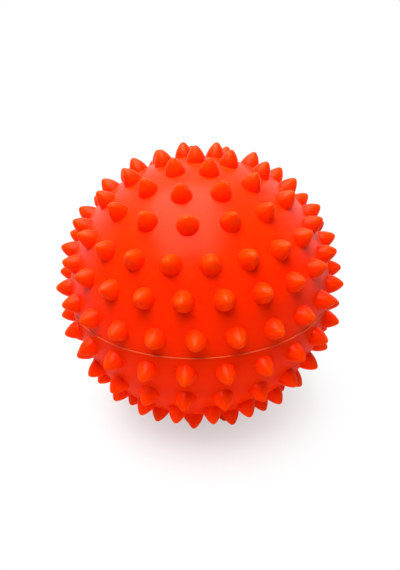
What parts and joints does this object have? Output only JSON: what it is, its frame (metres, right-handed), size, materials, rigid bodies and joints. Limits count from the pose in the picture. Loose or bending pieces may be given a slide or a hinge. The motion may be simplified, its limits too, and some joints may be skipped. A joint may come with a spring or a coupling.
{
  "type": "spiky sensory ball",
  "caption": "Hollow soft vinyl ball covered in blunt moulded spikes, welded round its middle, with an air valve plug; rolled or squeezed in the hand for touch play.",
  "frame": {"origin": "centre of the ball, on the plane of the weld seam", "axes": "+Z through the poles, square to the seam and away from the air valve; -Y towards the viewer of the picture, +X to their right"},
  "size_m": [0.0992, 0.0992, 0.0987],
  "materials": {
    "shell_vinyl": "satin moulded soft vinyl",
    "weld_vinyl": "satin weld flash, slightly uneven",
    "valve_vinyl": "milky soft vinyl"
  },
  "bodies": {
    "ball": {"upper_half": "shell_vinyl", "lower_half": "shell_vinyl", "weld_bead": "weld_vinyl", "valve_sleeve": "valve_vinyl"},
    "plug": {"valve_plug": "valve_vinyl"}
  },
  "joints": [
    {"name": "plug_pull", "type": "slide", "parent": "ball", "child": "plug", "axis": [0, 0, -1], "range_m": [0, 0.012]}
  ]
}
